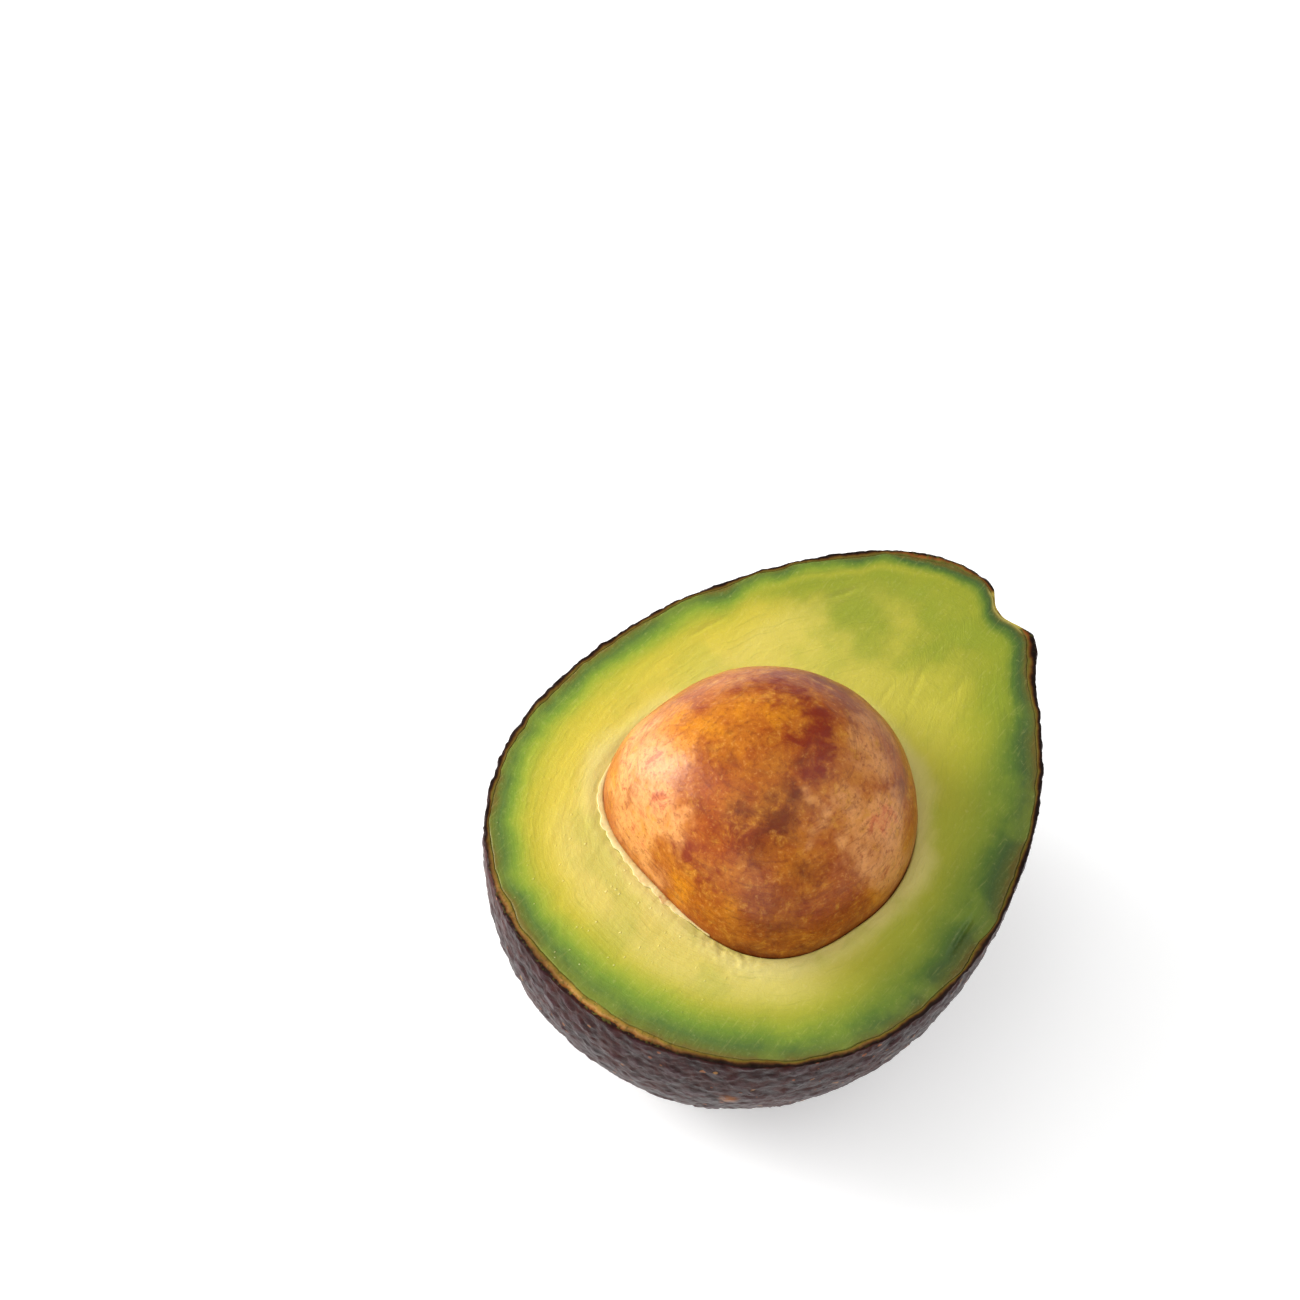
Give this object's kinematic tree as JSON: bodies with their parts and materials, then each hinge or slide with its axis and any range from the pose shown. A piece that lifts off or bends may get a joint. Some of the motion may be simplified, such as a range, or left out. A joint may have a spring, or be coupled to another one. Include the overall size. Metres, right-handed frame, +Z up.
{
  "type": "avocado half with seed",
  "caption": "Half of a ripe avocado cut lengthways, its seed still in the flesh, lying on its back on a small flat spot with the cut face up.",
  "frame": {"origin": "centre of the small flat spot on the fruit's back that it rests on", "axes": "+X towards the stem end, along the fruit's length; +Z up, out of the cut face; +Y across the fruit's width"},
  "size_m": [0.09, 0.0676, 0.0568],
  "materials": {
    "skin": "pebbled satin",
    "flesh": "moist satin",
    "seed": "smooth satin",
    "seed_coat": "papery matt"
  },
  "bodies": {
    "root": {"skin": "skin", "flesh": "flesh", "seed": "seed", "seed_coat": "seed_coat"}
  },
  "joints": []
}
